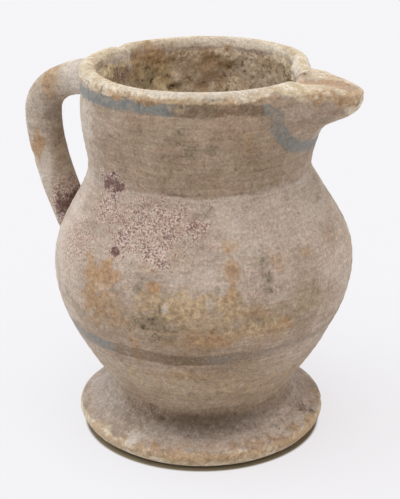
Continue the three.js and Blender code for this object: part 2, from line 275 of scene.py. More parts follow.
def weathered_slip(name, light, dark, blush):
    """Earthenware under a thin clay slip, unglazed, fired about 1000 degrees and buried since:
    matt, chalky, blotched by soil, and scuffed to the clay on its edges."""
    material = bpy.data.materials.new(name)
    material.use_nodes = True
    tree = material.node_tree
    tree.nodes.clear()
    place = add(tree, "TexCoord").outputs["Object"]
    flattened = add(tree, "Mapping", {"Vector": place, "Scale": (1, 1, 4.5)}).outputs[0]
    lined = add(tree, "Mapping", {"Vector": place, "Scale": (1, 1, 14)}).outputs[0]

    def noise(millimetres, detail, roughness=0.6, distortion=0.0, vector=place):
        node = add(tree, "TexNoise", {
            "Vector": vector, "Scale": 1000 / millimetres, "Detail": detail,
            "Roughness": roughness, "Distortion": distortion,
        })
        return node.outputs["Fac"]

    def blend(share, below, above, mode="MIX"):
        node = add(tree, "Mix", {0: share, 6: below, 7: above}, data_type="RGBA", blend_type=mode)
        return node.outputs[2]

    def remap(value, low, high, bottom=0.0, top=1.0):
        node = add(tree, "MapRange", {
            "Value": value, "From Min": low, "From Max": high, "To Min": bottom, "To Max": top,
        }, interpolation_type="SMOOTHSTEP")
        return node.outputs["Result"]

    def maths(operation, a, b):
        return add(tree, "Math", {0: a, 1: b}, operation=operation).outputs[0]

    def mark(attribute, breaker, amount, low, high, top=1.0):
        read = add(tree, "Attribute", attribute_name=attribute).outputs["Fac"]
        shift = maths("MULTIPLY", maths("SUBTRACT", breaker, 0.5), amount)
        broken = maths("ADD", read, maths("MULTIPLY", shift, remap(read, 0, 0.2)))
        return remap(broken, low, high, 0.0, top)

    def tinted(color, *tints):
        for source, low, high, most, code in tints:
            color = blend(remap(source, low, high, 0, most), color, linear(code))
        return color

    # clouds where the slip pooled, streaks and fine lines where it was wiped round, mottle where
    # soil took hold, flecks and grain of the clay itself
    clouds = noise(38, 3)
    streaks = noise(26, 4, 0.6, 0.3, flattened)
    wiped = noise(20, 4, 0.66, 0.1, lined)
    mottle = noise(11, 5, 0.68, 0.5)
    flecks = noise(3.2, 4, 0.72)
    grain = noise(1.4, 3, 0.75)
    dust = noise(0.9, 1, 0.5)

    color = tinted(
        linear(dark),
        (clouds, 0.36, 0.64, 1, light), (streaks, 0.44, 0.66, 0.6, blush),
        (mottle, 0.5, 0.72, 0.45, "#9d8b7c"), (mottle, 0.46, 0.3, 0.45, "#cbbdae"),
        (flecks, 0.54, 0.68, 0.55, "#8b7867"), (flecks, 0.45, 0.33, 0.4, "#d3c6b9"),
    )
    # painted shade, with some soil, darkens and browns the slip: over the neck's front, in the fold and
    # on the handle's inner side
    color = blend(mark("worn", mottle, 0.6, 0.0, 1.0), color, (0.78, 0.71, 0.61, 1), "MULTIPLY")
    color = blend(1.0, color, remap(wiped, 0.34, 0.66, 1.1, 0.9), "MULTIPLY")

    # the crust is a little crazed where it is thick
    crusted = tinted(
        linear("#c2aa84"),
        (mottle, 0.36, 0.62, 1, "#f2dfb8"), (clouds, 0.42, 0.56, 0.6, "#dac7b5"),
        (flecks, 0.52, 0.64, 0.75, "#8c7459"),
    )
    color = blend(mark("crust", flecks, 0.6, 0.25, 0.75), color, crusted)
    jitter = add(tree, "TexNoise", {"Vector": place, "Scale": 1000 / 8.0, "Detail": 4})
    shaken = add(tree, "VectorMath", {
        0: jitter.outputs["Color"], 1: (0.014, 0.014, 0.014), 2: place,
    }, operation="MULTIPLY_ADD").outputs[0]
    cracks = add(tree, "TexVoronoi", {
        "Vector": shaken, "Scale": 1000 / 7.0,
    }, feature="DISTANCE_TO_EDGE").outputs["Distance"]
    cracked = maths("MULTIPLY", remap(cracks, 0.08, 0.02), remap(mottle, 0.5, 0.62))
    cracked = maths("MULTIPLY", cracked, mark("crust", flecks, 0.6, 0.4, 0.8, 0.45))
    color = blend(cracked, color, linear("#5d4b33"))

    bare_clay = tinted(
        linear("#c3ae8d"), (mottle, 0.35, 0.65, 1, "#e1d5c1"), (flecks, 0.52, 0.66, 0.6, "#9c8262"),
    )
    color = blend(mark("tan", mottle, 1.0, 0.2, 0.8, 0.92), color, bare_clay)
    cream_soil = tinted(linear("#c8ad88"), (flecks, 0.4, 0.6, 1, "#a48a69"))
    color = blend(mark("cream", mottle, 1.0, 0.1, 1.0, 0.8), color, cream_soil)
    ochre_soil = tinted(linear("#ba946a"), (flecks, 0.38, 0.64, 1, "#99744f"))
    color = blend(mark("ochre", mottle, 0.9, 0.1, 1.05, 0.8), color, ochre_soil)

    # the purple-brown patch, umber, has crumbled, so pale grains show between its dark ones
    for attribute, breaker, amount, low, high, most, code in (
        ("grey", mottle, 1.3, 0.1, 1.0, 0.55, "#74664f"),
        ("grey", flecks, 3.4, 0.7, 1.3, 0.8, "#55483a"),
        # pale chalk, which also carries painted light on the shoulder, the left side and the foot's
        # edge, and a painted highlight on the clay ball
        ("pale_and_painted_light", flecks, 1.3, 0.1, 1.3, 0.8, "#d8ccc0"),
        ("umber", mottle, 0.8, 0.0, 0.8, 0.5, "#b89383"),
        ("umber", dust, -3.0, 0.4, 1.1, 0.5, "#dfd3c9"),
        ("umber", dust, 4.0, 0.6, 1.2, 0.7, "#7c5447"),
        ("umber", flecks, 2.0, 0.76, 1.35, 0.85, "#66443b"),
    ):
        color = blend(mark(attribute, breaker, amount, low, high, most), color, linear(code))

    painted = blend(mark("rust", mottle, 1.2, 0.1, 1.0), linear("#767b7b"), linear("#735a42"))
    painted = tinted(painted, (flecks, 0.5, 0.64, 0.6, "#a3937e"), (flecks, 0.46, 0.34, 0.5, "#6f6a63"))
    color = blend(mark("band", flecks, 0.9, 0.05, 1.15, 0.85), color, painted)
    # dirt and painted shade: darker in the fold, along the crease, under the foot's edge and on the
    # handle's inner side, with real dirt in the beak's hole and scratch
    color = blend(mark("dirt", flecks, 0.7, 0.0, 1.1, 0.84), color, linear("#523d2a"))

    # pits and grit: dots of about 1 mm, one cell in five has one
    cells = add(tree, "TexVoronoi", {"Vector": place, "Scale": 1000 / 6.0})
    chosen = add(tree, "SeparateColor", {0: cells.outputs["Color"]}).outputs[0]
    dots = maths("MULTIPLY", remap(cells.outputs["Distance"], 0.12, 0.05), remap(chosen, 0.79, 0.81))
    color = blend(maths("MULTIPLY", dots, 0.7), color, linear("#43352b"))
    color = blend(1.0, color, remap(grain, 0.3, 0.7, 1.2, 0.8), "MULTIPLY")

    rough_crust = add(tree, "Attribute", attribute_name="crust").outputs["Fac"]
    height = maths("ADD", maths("MULTIPLY", grain, 0.4), maths("MULTIPLY", flecks, 0.6))
    height = maths("SUBTRACT", height, maths("MULTIPLY", dots, 0.8))
    height = maths("ADD", height, maths("MULTIPLY", rough_crust, maths("MULTIPLY", mottle, 4.0)))
    relief = add(tree, "Bump", {"Height": height, "Distance": 0.0005, "Strength": 0.5})
    shader = add(tree, "BsdfPrincipled", {
        "Base Color": color,
        "Roughness": remap(mottle, 0.3, 0.7, 0.66, 0.88),
        "Diffuse Roughness": 1.0,
        "Normal": relief.outputs["Normal"],
        "IOR": 1.5,
        "Specular IOR Level": 0.25,
    })
    add(tree, "OutputMaterial", {"Surface": shader.outputs["BSDF"]})
    return material


# the belly's outline, which the foot is smoothed on to
BELLY_RADIUS = 83.2
BELT_HEIGHT = 100.2
CREASE_RADIUS = 59.8
CREASE_HEIGHT = 154.9
WAIST_ANGLE = 55.4
WAIST_SLOPE = 0.69
waist = (WAIST_RADIUS, FOOT_HEIGHT)
belt = (BELLY_RADIUS, BELT_HEIGHT)
belly_side = np.concatenate([
    bend(waist, WAIST_ANGLE, 0.483, belt, 90, 0.257, 90)[:-1],
    bend(belt, 90, 0.375, (CREASE_RADIUS, CREASE_HEIGHT), 107.6, 0.33, 70),
])


def belly_radius(z):
    """Radius of the belly's drawn outline at a height, carried straight on below the waist."""
    below_waist = np.minimum(z - FOOT_HEIGHT, 0)
    return radius_at(z, belly_side) + WAIST_SLOPE * below_waist


brow = (FOOT_RADIUS - FOOT_EDGE_EASE, FOOT_EDGE_HEIGHT)
foot_edge = bend((BASE_RADIUS, 0), 14, 0.31, brow, 129.5, 0.415, 20)
flare = bend(brow, 164.5, 0.4, waist, 112, 0.344, 60)
fold_heights = np.linspace(FOOT_EDGE_HEIGHT + 0.2, SMEAR_TOP, 52)
flare_radius = radius_at(fold_heights, flare) - np.maximum(fold_heights - FOOT_HEIGHT, 0) * 0.4
fold_radius = merged(flare_radius, belly_radius(fold_heights), FOLD_FILLET)
fold_radius = fold_radius - LAP_SINK * ease(SMEAR_TOP - 3, SMEAR_TOP, fold_heights)

# the wire left the underside half a millimetre hollow, and the top ends inside the belly
foot_outline = np.concatenate([
    [[2, 0.5], [30, 0.5], [56, 0.4], [60.5, 0]],
    foot_edge,
    points(fold_radius, fold_heights),
    [[46, 28], [20, 27], [2, 27]],
])
foot_places = turned(foot_outline)
foot_radius, _, foot_z = polar(foot_places)
foot_skin = (foot_z > 0.05) & (foot_radius > 49)
chips = 0.7 * np.clip(lumps(foot_places, 9, 61) - 0.8, 0, 1) * bell(foot_z - FOOT_EDGE_HEIGHT, 4)
foot_places = pushed(foot_places, np.where(foot_skin, handmade(foot_places) - chips, 0))
foot_wander = lumps(foot_places, 14, 62)


def fold_dirt(places):
    """How thickly soil lies in the fold between foot and belly, with the shade that the belly casts
    there painted in, most of it on the near side.
    """
    radius, angle, z = polar(places)
    return bell(z - 21.5, 7.5) * (0.2 + 0.75 * bell(around(angle, -62), 40)) * ease(49, 51, radius)


def soil_and_shade_wash(places):
    """How far the slip is darkened and browned: over the lower front, and more round the fold, where it
    is soil and painted shade under the belly.
    """
    _, angle, z = polar(places)
    front = bell(around(angle, -62), 64)
    lower = ease(18, 28, z) * fade(88, 126, z) * (0.1 + 0.75 * front)
    return lower + 0.5 * bell(z - 30, 11) * (0.2 + 0.8 * front)


foot = skin("foot_disc", foot_places, weather(
    foot_places, FOOT_STAINS,
    tan=fade(9.2, 13.2, foot_z + foot_wander),
    # dirt and painted shade in the fold, and painted shade on the lowest 2 mm of the edge, under the
    # overhang
    dirt=fold_dirt(foot_places) + 0.4 * fade(0.3, 2, foot_z),
    worn=soil_and_shade_wash(foot_places),
), weathered_slip("earthenware_foot", *SLIP_COLORS))
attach(foot, "root")
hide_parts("foot")

# The belly
# A round bowl with walls about 7 mm thick, thrown on the wheel and closed in to a collar. The
# outside was wiped with slip and banded; the inside was left as the fingers made it.
BELLY_WALL = 7
BELLY_FLOOR = 31
LOWER_BAND_TOP = 73.8
LOWER_BAND_BOTTOM = 65.6
BELLY_STAINS = {
    "ochre": [
        (-103, 111, 14, 11, 1.0), (-103, 96, 15, 14, 0.75), (-95, 91, 10, 7, 0.55),
        (-80, 112, 5, 3.5, 0.9), (-51, 132, 5, 4, 0.9), (-51, 120, 5, 6, 0.7), (-52, 110, 5, 4.5, 0.7),
        (-32, 121, 5, 5, 0.6), (-62, 84, 22, 6, 0.7), (-33, 87, 8, 7, 0.7), (-39, 99, 10, 4, 0.55),
        (-89, 76, 3.2, 15, 0.7), (-68, 58, 12, 3.2, 0.7), (-20, 143, 3, 2.5, 0.5), (-17, 123, 4, 4, 0.5),
        (2, 125, 10, 7, 0.4), (-70, 127, 6, 5, 0.35), (45, 104, 22, 12, 0.8), (95, 128, 16, 10, 0.7),
        (120, 76, 26, 8, 0.8), (165, 112, 12, 16, 0.6),
    ],
    "cream": [
        (-81, 103, 10, 8, 0.85), (-67, 103, 16, 8, 1.0), (-51, 103, 10, 10, 0.9),
        (-41, 89, 20, 7, 0.85), (-66, 92, 60, 12, 0.5), (-82, 121, 7, 3, 0.5), (-63, 50, 66, 12, 0.5),
        (-19, 98, 18, 13, 0.4), (70, 96, 18, 10, 0.7), (140, 96, 20, 9, 0.6), (15, 112, 9, 10, 0.4),
    ],
    "umber": [
        (-111, 155, 10, 7, 1.25), (-112, 143, 9, 9, 0.75), (-92, 143, 4, 7, 0.9), (-97, 131, 7, 7, 0.9),
        (-98, 125, 4.5, 3.5, 1.3), (-77, 137, 5, 8, 0.85), (-66, 140, 7, 4, 0.8),
        (-82, 128, 10, 7, 0.8), (-77, 124, 5, 3, 0.95), (-86, 139, 28, 15, 0.6),
        (-125, 122, 20, 12, 0.45), (60, 140, 18, 9, 0.8), (84, 124, 10, 8, 0.7), (150, 95, 16, 8, 0.5),
    ],
    "grey": [
        (-59, 148, 6, 6, 0.6), (-37, 116, 4, 13, 0.8), (-80, 91, 14, 7, 0.85), (-74, 84, 12, 4, 0.7),
        (-86, 109, 3, 5, 0.7), (-57, 112, 2, 2, 0.8), (-40, 94, 16, 3, 0.4), (-60, 91, 14, 4, 0.35),
        (-19, 100, 16, 12, 0.35), (-77, 101, 1.5, 6, 0.7), (-40, 50, 4, 2, 0.6),
        (30, 128, 8, 16, 0.6), (110, 108, 14, 7, 0.8),
    ],
    # of the pale patches, the broad ones high on the shoulder at heights 140 and 132, and the tall one
    # at -140 on the left side, are painted light over chalky flecks, lighter where the light from above
    # and from the left falls
    "pale_and_painted_light": [
        (-47, 134, 14, 12, 0.6), (-63, 118, 18, 9, 0.55), (-101, 107, 6, 3, 0.6),
        (-140, 112, 16, 30, 0.5), (-75, 101.5, 2.2, 3.5, 0.8), (-100, 145, 14, 10, 0.35),
        (50, 118, 18, 8, 0.6), (130, 130, 14, 10, 0.6), (-14, 140, 60, 18, 0.5),
        (-85, 132, 40, 12, 0.4), (20, 120, 24, 16, 0.35),
    ],
}


def striped(places, top, bottom, wander):
    """1 between two heights, with soft edges that wander."""
    z = places[..., 2] + wander
    return ease(bottom - 0.8, bottom + 0.8, z) * fade(top - 0.8, top + 0.8, z)


# the belly's underside is tucked into the foot, and its mouth ends under the neck
belly_tucked = bend((44, 25), 20, 0.3, waist, WAIST_ANGLE, 0.3, 4)[:-1]
inside_heights = np.linspace(150, 44, 40)
belly_inside = belly_radius(inside_heights) - BELLY_WALL
belly_outline = np.concatenate([
    [[2, 24]],
    belly_tucked,
    belly_side[:-1],
    [[CREASE_RADIUS - 0.5, CREASE_HEIGHT - 0.1], [CREASE_RADIUS - 1.6, CREASE_HEIGHT]],
    [[CREASE_RADIUS - BELLY_WALL + 1, CREASE_HEIGHT], [CREASE_RADIUS - BELLY_WALL, CREASE_HEIGHT - 1]],
    points(belly_inside, inside_heights),
    bend((belly_inside[-1], 44), -125, 0.4, (22, BELLY_FLOOR), 180, 0.4, 12)[1:],
    [[2, BELLY_FLOOR]],
])
belly_places = turned(belly_outline)
_, belly_angle, belly_z = polar(belly_places)
belly_row = np.arange(len(belly_outline))[:, None] * np.ones_like(belly_z)
belly_out = (belly_row > 0) & (belly_row < len(belly_tucked) + len(belly_side))
belly_rough = 0.5 * lumps(belly_places, 14, 63) + crusty(belly_places)
belly_rough = belly_rough * ease(BELLY_FLOOR + 1, 50, belly_z)
belly_places = pushed(belly_places, np.where(belly_out, handmade(belly_places), belly_rough))

# the lower band climbs and thins towards the beak, and is fainter there and near the handle
band_wander = 0.6 * lumps(belly_places, 30, 31) + 0.35 * lumps(belly_places, 8, 32)
band_wander = band_wander - 1.2 * ease(-75, -45, belly_angle)
thin = 3.2 * ease(-52, -34, belly_angle) * fade(60, 90, belly_angle)
lower_band = striped(belly_places, LOWER_BAND_TOP, LOWER_BAND_BOTTOM + thin, band_wander)
lower_band = lower_band * (1 - 0.4 * ease(-66, -40, belly_angle))
lower_band = lower_band * (1 - 0.25 * fade(-118, -104, belly_angle))
lower_band = lower_band * (0.94 - 0.2 * bell(around(belly_angle, -92), 10))
lower_rust = ease(-106, -94, belly_angle) * (1 - 0.45 * ease(-72, -50, belly_angle))
belly = skin("belly_bowl", belly_places, weather(
    belly_places, BELLY_STAINS,
    band=lower_band * belly_out,
    rust=lower_rust,
    crust=~belly_out,
    # painted shade along the crease under the neck, and painted shade with dirt in the fold
    dirt=fold_dirt(belly_places) + 0.3 * bell(belly_z - CREASE_HEIGHT, 1.2),
    worn=soil_and_shade_wash(belly_places),
), weathered_slip("slip_on_belly", *SLIP_COLORS))
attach(belly, "root")
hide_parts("belly")

# The neck
# An upright collar, thrown and luted on the belly, that swells a little and turns in to a rolled
# lip. The lip is scuffed to tan clay, and inside the mouth the wall is crusted brown.
NECK_WALL = 7
LIP_RADIUS = 58.3
LIP_THICKNESS = 9.1
RIM_HEIGHT = 209.4
LIP_LEAN = 17
LIP_END = 172
LIP_STEPS = 28
LIP_SWELL = 184
UPPER_BAND_TOP = 204.4
UPPER_BAND_BOTTOM = 198.2
BEAK_BAND_HALF_WIDTH = 31
BEAK_BAND_TOP = 200
BEAK_BAND_DEPTH = 26.5
BEAK_BAND_SQUARENESS = 2.1
BEAK_BAND_SPAN = 26
COIL_END = 164.5
BALL_ANGLE = 133.3
BALL_HEIGHT = 185.2
COVER_BOTTOM = 147.5
COVER_FILLET = 4
LIP_THINNED = 0.86
LIP_PRESSED = 8.5
DRIPS = [
    (-106, 203.5, 4, 1.6, 0.9), (-89, 204, 8, 1.8, 0.9), (-73, 202, 5, 2.4, 0.6),
    (-62, 200, 4, 2.4, 0.6), (-49, 203, 6, 1.6, 0.5),
]
NECK_STAINS = {
    "ochre": DRIPS + [
        (-42, 185, 3.2, 6, 0.55), (-27, 190, 4, 10, 0.4), (-60, 200, 20, 3, 0.45),
        (149, 201, 16, 10, 0.9), (112, 190, 14, 14, 0.7), (-86, 205, 60, 2, 0.75),
        (75, 197, 16, 7, 0.5), (90, 175, 14, 8, 0.5),
    ],
    "cream": [
        (-92, 166, 4, 3, 0.5), (119, 197, 16, 6, 0.6), (50, 203, 14, 4, 0.4), (-80, 170, 20, 7, 0.25),
    ],
    "umber": [(173, 192, 9, 7, 0.75), (-110, 160, 8, 4, 0.5), (162, 186, 8, 5, 0.55)],
    "grey": [
        (-71, 186, 8, 5, 0.6), (-67, 180, 5, 5, 0.6), (-58, 183, 3, 6, 0.6), (-70, 163, 5, 6, 0.5),
        (-108, 183, 1.4, 1.4, 1.0), (-35, 168, 12, 1.2, 0.6), (-86, 203, 3, 2, 0.8),
        (-57, 207, 7, 1.5, 0.8), (-64, 202, 14, 4, 0.8), (-77, 170, 12, 8, 0.35),
        (-50, 176, 22, 12, 0.3), (-128, 201, 1.2, 1.2, 1.1), (96, 191, 16, 8, 0.5),
        (152, 186, 7, 8, 0.7), (60, 192, 12, 8, 0.3), (20, 180, 10, 14, 0.4), (118, 184, 6, 4, 0.6),
        (-131, 205.5, 2.4, 0.9, 1.1), (-117, 204.5, 1.6, 1.2, 1.1), (-101, 204, 3, 1.1, 1.0),
        (-92, 200.5, 1.3, 2.6, 1.1), (-76, 200, 3.4, 1.2, 1.0), (-66, 201, 5, 1.1, 1.0),
        (-44, 203, 6, 0.9, 0.9),
    ],
    # the tall pale patch at -134 on the left side is painted light over chalky flecks, lighter where the
    # light from the left falls
    "pale_and_painted_light": [
        (-134, 180, 18, 26, 0.6), (38, 207, 8, 3, 0.8), (165.8, 195, 1.8, 13, 1.1),
        (174, 203, 10, 5, 0.8), (-63, 209, 40, 2.4, 0.9), (18, 178, 22, 22, 0.4),
        (-147, 201, 5, 4, 0.5), (108, 207, 60, 3, 0.7), (22, 206, 6, 3, 0.7),
    ],
}
BODY_STAINS = {mark: BELLY_STAINS[mark] + NECK_STAINS[mark] for mark in NECK_STAINS}
lip_half = LIP_THICKNESS / 2
lip_height = RIM_HEIGHT - lip_half


def lip_arc(start, end, steps):
    """Points round the lip's section from one angle to another, 90 degrees being its top."""
    turn = np.radians(np.linspace(start, end, steps + 1))
    middle = np.array([LIP_RADIUS, lip_height])
    return middle + lip_half * points(np.cos(turn), np.sin(turn))


def squeeze(angle, z):
    """How far the neck stands out from round. Its rim is drawn out on the near side of the
    handle and behind, and it is nipped in beyond the beak, most just above its root and at its
    rim."""
    near_handle = 4.2 * bell(around(angle, -170), 36) * ease(192, 206, z)
    behind = 3.4 * bell(around(angle, 90), 42) * ease(186, 206, z)
    pinch = 3.4 * bell(around(angle, 30), 15) * ease(CREASE_HEIGHT + 2, CREASE_HEIGHT + 11, z)
    nip = bell(around(angle, 32), 14) * (1.2 * bell(z - 167, 8) + 2.6 * ease(194, 206, z))
    return near_handle + behind - pinch - nip


def rim_drop(angle, z):
    """How far the lip lies below its highest: a nick where the coil was joined, a dip before the
    handle, and a slow waver."""
    nick = 1.1 * ease(COIL_END - 1, COIL_END + 1, angle % 360) * fade(166, 174, angle % 360)
    dip = 0.7 * bell(around(angle, -107), 26)
    waver = 0.12 - 0.12 * np.cos(np.radians(2 * (angle - 118)))
    return (nick + dip + waver) * ease(188, 206, z)


def worked(places, extra=0):
    """Places of the plain turned neck, and of what is luted on it, moved to where the potter's
    hands left them. The beak was pulled out after the neck was squeezed, so it isn't."""
    radius, angle, z = polar(places)
    moved = pushed(places, squeeze(angle, z) * fade(62, 71, radius) + handmade(places) + extra)
    moved[..., 2] -= rim_drop(angle, z)
    return moved


# the neck's outside, and its inside, which swells into the lip over its last 20 mm
neck_root = (CREASE_RADIUS + 0.9, CREASE_HEIGHT + 0.6)
lip_start = lip_arc(LIP_LEAN, LIP_LEAN, 0)[0]
neck_side = bend(neck_root, 79, 0.29, lip_start, 90 + LIP_LEAN, 0.43, 56)
NECK_WIDEST = neck_side[:, 0].max()
below_lip = (radius_at(LIP_SWELL, neck_side) - NECK_WALL, LIP_SWELL)
neck_inside = np.concatenate([
    bend(lip_arc(LIP_END, LIP_END, 0)[0], -98, 0.3, below_lip, -88, 0.4, 14)[1:-1],
    neck_side[neck_side[:, 1] < LIP_SWELL][::-2] - [NECK_WALL, 0],
])
inner_line = np.concatenate([neck_inside[::-1], lip_arc(LIP_END, 180, 2)[::-1]])
inner_line = inner_line[np.argsort(inner_line[:, 1])]


def neck_solid(places):
    """Distance to the skin of the plain turned neck: below 0 inside its wall and lip."""
    radius, _, z = polar(places)
    level = np.minimum(z, lip_height)
    outer = radius_at(level, neck_side)
    inner = radius_at(level, inner_line)
    return np.hypot(radius - (outer + inner) / 2, z - level) - (outer - inner) / 2


SPOUT_REACH = 92.8
SPOUT_TOP = 208.5
SPOUT_HALF_WIDTH = (8.5, 22.3)
SPOUT_DEPTH = (13, 28)
SPOUT_TAPER = 1.2
SPOUT_DROOP = 1.8
SPOUT_EDGE = 3.0
SPOUT_SQUARENESS = 2.7
TIP_ROUNDING = 10.5
SPOUT_FLARE = 3.2
SPOUT_FILLET = 9.0


def to_skin(gauge, places):
    """Distance to where a gauge is nought, near enough: the gauge divided by its own slope."""
    probe = 0.2
    value = gauge(places)
    slopes = [(gauge(places + step) - value) / probe for step in probe * np.eye(3)]
    return value / np.maximum(np.sqrt(sum(slope ** 2 for slope in slopes)), 0.02)


def beak_top(x):
    """Height of the beak's top, which droops a little towards the tip."""
    return SPOUT_TOP - SPOUT_DROOP * ease(76, 94, x)


def beak_spread(x):
    """How wide and deep the beak is, from 0 at its tip to 1 at its root and a little more inside
    the neck."""
    way = (SPOUT_REACH - x) / (SPOUT_REACH - NECK_WIDEST)
    return np.minimum(np.maximum(way, 0) ** SPOUT_TAPER, 1.5)


def beak_half(x):
    """Half the beak's width, which flares where it leaves the lip."""
    tip, root = SPOUT_HALF_WIDTH
    return tip + (root - tip) * beak_spread(x) + SPOUT_FLARE * bell(x - 60, 8)


def beside_beak(places):
    """Distance in plan out from the beak's side, and a long way for places behind the axis."""
    x, y, _ = np.moveaxis(places, -1, 0)
    return np.where(x > 0, np.abs(y) - beak_half(x), 99)


def beak_gauge(places):
    """Below 0 inside the plain beak. Across it is a rounded square, flat on top, whose width and
    depth grow on the way back from the tip; the tip is rounded off in plan."""
    x, y, z = np.moveaxis(places, -1, 0)
    half = beak_half(x)
    depth = SPOUT_DEPTH[0] + (SPOUT_DEPTH[1] - SPOUT_DEPTH[0]) * np.minimum(beak_spread(x), 1.2)
    rise = z - (beak_top(x) - SPOUT_EDGE)
    tall = np.where(rise > 0, SPOUT_EDGE, depth - SPOUT_EDGE)
    end = np.maximum(x - (SPOUT_REACH - TIP_ROUNDING), 0) / TIP_ROUNDING + np.maximum(20 - x, 0) / 20
    power = SPOUT_SQUARENESS
    return (np.abs(y / half) ** power + np.abs(rise / tall) ** power + end ** power) ** (1 / power) - 1


def beak_solid(places):
    """Distance to the skin of the beak, which starts from the crest of the lip."""
    radius, _, _ = polar(places)
    return merged(to_skin(beak_gauge, places), LIP_RADIUS - 1 - radius, 5)


def crusted_inside(places, inside):
    """How thick the crust lies on the inside wall. It ends in a ragged line half way up the lip."""
    edge = RIM_HEIGHT - 5 - places[..., 2] + 1.2 * lumps(places, 10, 66)
    return inside * ease(0, 3, edge)


def inside_relief(places, crust):
    """How far the inside wall and its crust stand off the drawn line, in millimetres."""
    return crusty(places) * crust - 0.3 * lumps(places, 16, 67)


def edge_wander(places):
    """How far the edges of bands and of worn clay wander up and down, in millimetres."""
    return 0.6 * lumps(places, 26, 33) + 0.5 * lumps(places, 6, 34)


# the slip that fills the crease runs out over the belly, and its edge ends just under the skin
cover_heights = np.linspace(COVER_BOTTOM, CREASE_HEIGHT + 6.6, 26)
cover_neck = radius_at(cover_heights, neck_side) + 0.2 * np.minimum(cover_heights - neck_root[1], 0)
cover_belly = belly_radius(cover_heights) - 0.6 * np.maximum(cover_heights - CREASE_HEIGHT, 0)
cover_radius = merged(cover_neck, cover_belly, COVER_FILLET)
cover_radius = cover_radius - LAP_SINK * fade(COVER_BOTTOM, COVER_BOTTOM + 3, cover_heights)
neck_out = np.concatenate([
    points(cover_radius, cover_heights),
    neck_side[neck_side[:, 1] > cover_heights[-1]],
])
neck_outline = np.concatenate([
    [[belly_radius(COVER_BOTTOM) - 3, COVER_BOTTOM + 1]],
    neck_out,
    lip_arc(LIP_LEAN, LIP_END, LIP_STEPS)[1:],
    neck_inside,
    [[CREASE_RADIUS - NECK_WALL + 0.3, CREASE_HEIGHT + 0.5]],
    [[CREASE_RADIUS - NECK_WALL + 0.5, CREASE_HEIGHT - 2], [CREASE_RADIUS - 3.4, CREASE_HEIGHT - 2]],
])
neck_plain = turned(neck_outline)
neck_radius, neck_angle, neck_z = polar(neck_plain)
neck_row = np.arange(len(neck_outline))[:, None] * np.ones_like(neck_z)
neck_in = neck_row > len(neck_out) + LIP_STEPS - 2
neck_crust = crusted_inside(neck_plain, neck_in)
rough = np.where(neck_in, inside_relief(neck_plain, neck_crust), 0)

# inside the mouth a small ball of clay is stuck, and the lip's coil ends in a lap
from_ball = around(neck_angle, BALL_ANGLE)
rough = rough - 4.2 * bell(from_ball, 3.2) * bell(neck_z - BALL_HEIGHT, 2.6) * neck_in
coil = 1.3 * ease(COIL_END - 0.6, COIL_END + 0.6, neck_angle % 360)
coil = coil * fade(182, 210, neck_angle % 360) * ease(189, 195, neck_z)
rough = rough - coil * fade(LIP_RADIUS - 4, LIP_RADIUS, neck_radius)

# a rough scab on the outside, and the lip pressed down and thinned under the beak's clay
scab = bell(around(neck_angle, -71), 11) * bell(neck_z - 202.5, 4) * ~neck_in
rough = rough + 0.8 * np.minimum(crusty(neck_plain), 0.1) * scab
off_beak = ease(0.35, 0.8, beak_solid(neck_plain) / SPOUT_FILLET)
covered = 1 - np.maximum(off_beak, ease(2.5, 6.5, beside_beak(neck_plain)))
thinned = (LIP_THINNED - 1) * (neck_radius - LIP_RADIUS)
rough = rough + covered * np.where(neck_z > LIP_SWELL + 1, thinned, -0.5)
neck_places = worked(neck_plain, rough)
neck_places[..., 2] -= LIP_PRESSED * covered * ease(196, 207, neck_z)


def upper_bands(places, wander):
    """1 under the band below the lip, which sags towards the handle and stops before the beak,
    and under the band that loops round the beak's root as half a rounded square."""
    radius, angle, z = polar(places)
    sag = np.where(angle < -63, 3.2 * ((angle + 63) / 77) ** 2, 1.6 * ((angle + 63) / 34) ** 2)
    level = striped(places, UPPER_BAND_TOP, UPPER_BAND_BOTTOM, wander + np.clip(sag, 0, 4))
    y = np.abs(places[..., 1])
    ahead = places[..., 0] > 0
    level = level * np.where(ahead, ease(30.5, 34, y), 1) * (1 - stained(places, DRIPS, 5, 90))
    below = np.maximum(BEAK_BAND_TOP - z, 0) / BEAK_BAND_DEPTH
    power = BEAK_BAND_SQUARENESS
    away = BEAK_BAND_SPAN * (((y / BEAK_BAND_HALF_WIDTH) ** power + below ** power) ** (1 / power) - 1)
    half_width = 1.9 + 1.6 * np.clip(below, 0, 1)
    loop = fade(half_width - 1, half_width + 1.4, np.abs(away + wander))
    loop = loop * (0.6 + 0.3 * ease(0, 0.6, below)) * ease(60, 60.6, radius)
    return np.maximum(level, loop * ahead * (z < BEAK_BAND_TOP + 1))


def neck_painted_shade(places):
    """Painted shade: how far the neck's slip is made darker than the belly's, as the light from above
    and the sides falls on it: most in front, least at both sides.
    """
    _, angle, z = polar(places)
    edge = CREASE_HEIGHT - 1 + 0.8 * lumps(places, 24, 64)
    return ease(edge, edge + 2, z) * (0.25 + 0.78 * bell(around(angle, -62), 62))


def upper_rust(places):
    """1 where the upper band is brown, and 0 where it is blue-grey, as it is round the beak."""
    _, angle, _ = polar(places)
    return ease(-82, -68, angle) * fade(-34.5, -32, angle)


def scuffed(angle, z, wander, free=0):
    """1 where the lip is worn to tan clay, least of it beside the beak's root. On the beak itself
    free is 1, and there the worn clay reaches lower and its edge is softer."""
    kept = 3.2 * bell(around(angle, -26), 9)
    return ease(203.5 + kept - 2 * free, 205.5 + kept + free, z + 0.8 * (1 + free) * wander)


neck_wander = edge_wander(neck_places)
